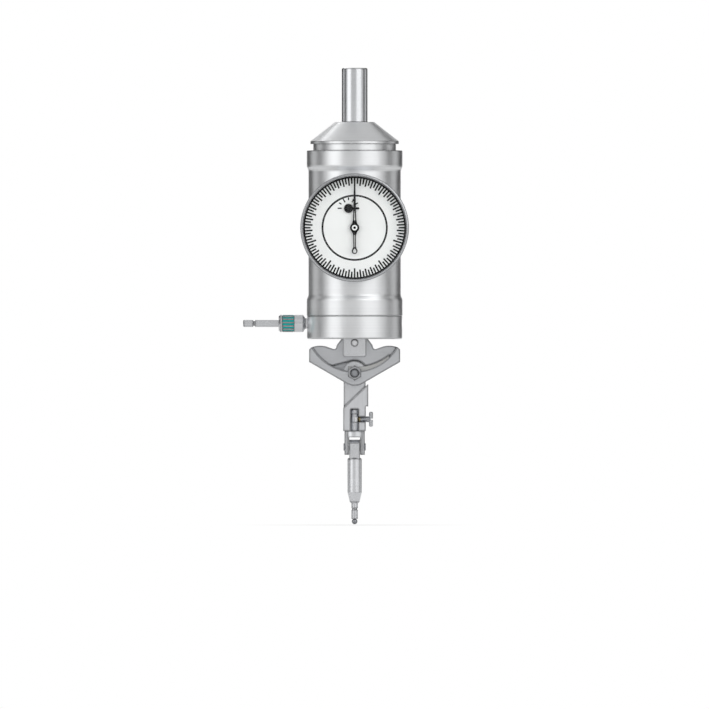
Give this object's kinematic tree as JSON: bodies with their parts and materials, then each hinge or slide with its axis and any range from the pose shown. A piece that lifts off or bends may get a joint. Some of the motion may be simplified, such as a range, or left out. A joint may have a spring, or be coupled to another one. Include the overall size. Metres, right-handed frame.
{
  "type": "centering indicator",
  "caption": "Coaxial centering indicator: a shank turns a tilting feeler while a round dial on a standing bearing housing shows the feeler's swing.",
  "frame": {"origin": "the spindle axis at the foot of the shank, where the shank leaves the cover", "axes": "+Z along the spindle axis towards the shank's end, the dial faces -Y, and the restraint rod points to -X"},
  "size_m": [0.0642, 0.0436, 0.177],
  "materials": {
    "satin_chrome": "satin chrome plate",
    "ground_steel": "fine ground steel",
    "bright_steel": "polished steel",
    "dark_steel": "dark oiled steel",
    "blued_steel": "blued spring strip",
    "brass": "fine turned brass",
    "spring_steel": "rolled spring steel",
    "dial_white": "matt white dial paint",
    "hand_black": "matt black paint",
    "crystal_glass": "clear polished crystal",
    "seal_felt": "pressed felt"
  },
  "bodies": {
    "spindle": {"spindle": "ground_steel", "spindle_nut": "dark_steel", "upper_inner_race": "bright_steel", "lower_inner_race": "bright_steel", "upper_circlip": "dark_steel", "lower_circlip": "dark_steel", "rocker_pin": "bright_steel", "return_spring": "dark_steel"},
    "push_rod": {"push_rod": "ground_steel", "cross_pin": "bright_steel", "lift_collar": "brass"},
    "housing": {"upper_cover": "satin_chrome", "body_shell": "satin_chrome", "lower_ring": "satin_chrome", "upper_outer_race": "bright_steel", "lower_outer_race": "bright_steel", "upper_balls": "bright_steel", "lower_balls": "bright_steel", "upper_retainer": "bright_steel", "lower_retainer": "bright_steel", "dust_seal": "seal_felt", "dial_case": "satin_chrome", "bezel_wire": "dark_steel", "front_plate": "brass", "rear_plate": "brass", "pillars": "brass", "plate_screws": "dark_steel", "centre_dial": "dial_white", "hairspring": "blued_steel"},
    "bezel": {"bezel": "ground_steel", "crystal": "crystal_glass", "graduated_ring": "dial_white"},
    "lever": {"sector_lever": "brass", "lever_arbor": "bright_steel"},
    "counter": {"counter_arbor": "bright_steel", "counter_wheel": "brass", "counter_hand": "hand_black"},
    "pointer": {"pointer_arbor": "bright_steel", "pointer": "hand_black"},
    "rocker": {"rocker": "ground_steel", "arm_bolt": "dark_steel", "hex_nut": "dark_steel", "wave_washer": "dark_steel", "friction_leaf": "spring_steel"},
    "arm": {"swing_arm": "ground_steel"},
    "thumb_screw": {"thumb_screw": "dark_steel", "clamp_pad": "brass"},
    "fork": {"fork": "ground_steel", "fork_pin": "bright_steel"},
    "feeler": {"feeler_body": "ground_steel", "feeler_tip": "bright_steel", "contact_ball": "bright_steel"},
    "restraint": {"restraint_rod": "ground_steel", "knurled_nut": "ground_steel"}
  },
  "joints": [
    {"name": "housing_turn", "type": "hinge", "parent": "spindle", "child": "housing", "pos_m": [0, 0, 0], "axis": [0, 0, 1], "continuous": true},
    {"name": "bezel_turn", "type": "hinge", "parent": "housing", "child": "bezel", "pos_m": [0, 0, -0.0411], "axis": [0, 1, 0], "continuous": true},
    {"name": "rocker_tilt", "type": "hinge", "parent": "spindle", "child": "rocker", "pos_m": [0, 0, -0.08568], "axis": [0, 1, 0], "range_deg": [0, 5], "stiffness_Nm_per_rad": 0.1, "springref_deg": -17.19},
    {"name": "push_rod_slide", "type": "slide", "parent": "spindle", "child": "push_rod", "axis": [0, 0, 1], "range_m": [0, 0.00042], "deforming": ["return_spring"]},
    {"name": "lever_turn", "type": "hinge", "parent": "housing", "child": "lever", "pos_m": [0.0023, 0, -0.04603], "axis": [0, 1, 0], "range_deg": [0, 10.1]},
    {"name": "counter_turn", "type": "hinge", "parent": "housing", "child": "counter", "pos_m": [-0.00238, 0, -0.03358], "axis": [0, 1, 0], "range_deg": [-181, 0]},
    {"name": "pointer_turn", "type": "hinge", "parent": "housing", "child": "pointer", "pos_m": [0, 0, -0.0411], "axis": [0, 1, 0], "range_deg": [0, 2161], "deforming": ["hairspring"]},
    {"name": "arm_swing", "type": "hinge", "parent": "rocker", "child": "arm", "pos_m": [0, 0, -0.09736], "axis": [0, 1, 0], "range_deg": [-14, 75]},
    {"name": "thumb_screw_turn", "type": "hinge", "parent": "arm", "child": "thumb_screw", "pos_m": [0, 0, -0.1153], "axis": [1, 0, 0], "continuous": true},
    {"name": "fork_turn", "type": "hinge", "parent": "arm", "child": "fork", "pos_m": [0, 0, -0.11984], "axis": [0, 0, 1], "continuous": true},
    {"name": "feeler_tilt", "type": "hinge", "parent": "fork", "child": "feeler", "pos_m": [0, 0, -0.12604], "axis": [1, 0, 0], "range_deg": [-90, 90]},
    {"name": "restraint_turn", "type": "hinge", "parent": "housing", "child": "restraint", "pos_m": [0, 0, -0.07813], "axis": [1, 0, 0], "continuous": true}
  ],
  "couplings": [
    {"joint": "push_rod_slide", "follows": "rocker_tilt", "m_per_rad": 0.0046},
    {"joint": "lever_turn", "follows": "rocker_tilt", "ratio": 2},
    {"joint": "counter_turn", "follows": "rocker_tilt", "ratio": -36},
    {"joint": "pointer_turn", "follows": "rocker_tilt", "ratio": 432}
  ]
}
